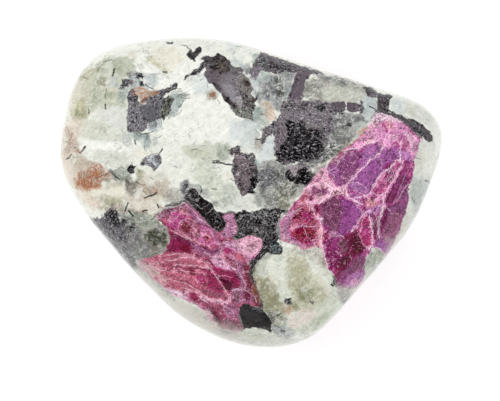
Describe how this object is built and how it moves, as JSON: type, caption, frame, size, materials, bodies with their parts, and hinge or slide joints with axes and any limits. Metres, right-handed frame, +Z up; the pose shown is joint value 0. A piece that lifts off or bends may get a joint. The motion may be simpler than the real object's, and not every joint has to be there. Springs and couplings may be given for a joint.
{
  "type": "tumbled ruby-bearing rock pebble",
  "caption": "Tumble-polished pebble of ruby in feldspar and amphibole rock, rounded triangle in outline, resting on its worn flat underside.",
  "frame": {"origin": "centre of the bounding box in plan, on the resting flat of the underside", "axes": "+X along the longest extent, towards the corner beside the larger ruby; +Z up out of the broad polished face; +Y towards the long straight side"},
  "size_m": [0.038, 0.0308, 0.0147],
  "materials": {
    "stone": "polished natural rock: raspberry ruby, white to grey-green feldspar and black to violet-grey amphibole, softly glossy"
  },
  "bodies": {
    "root": {"ruby_stone": "stone"}
  },
  "joints": []
}
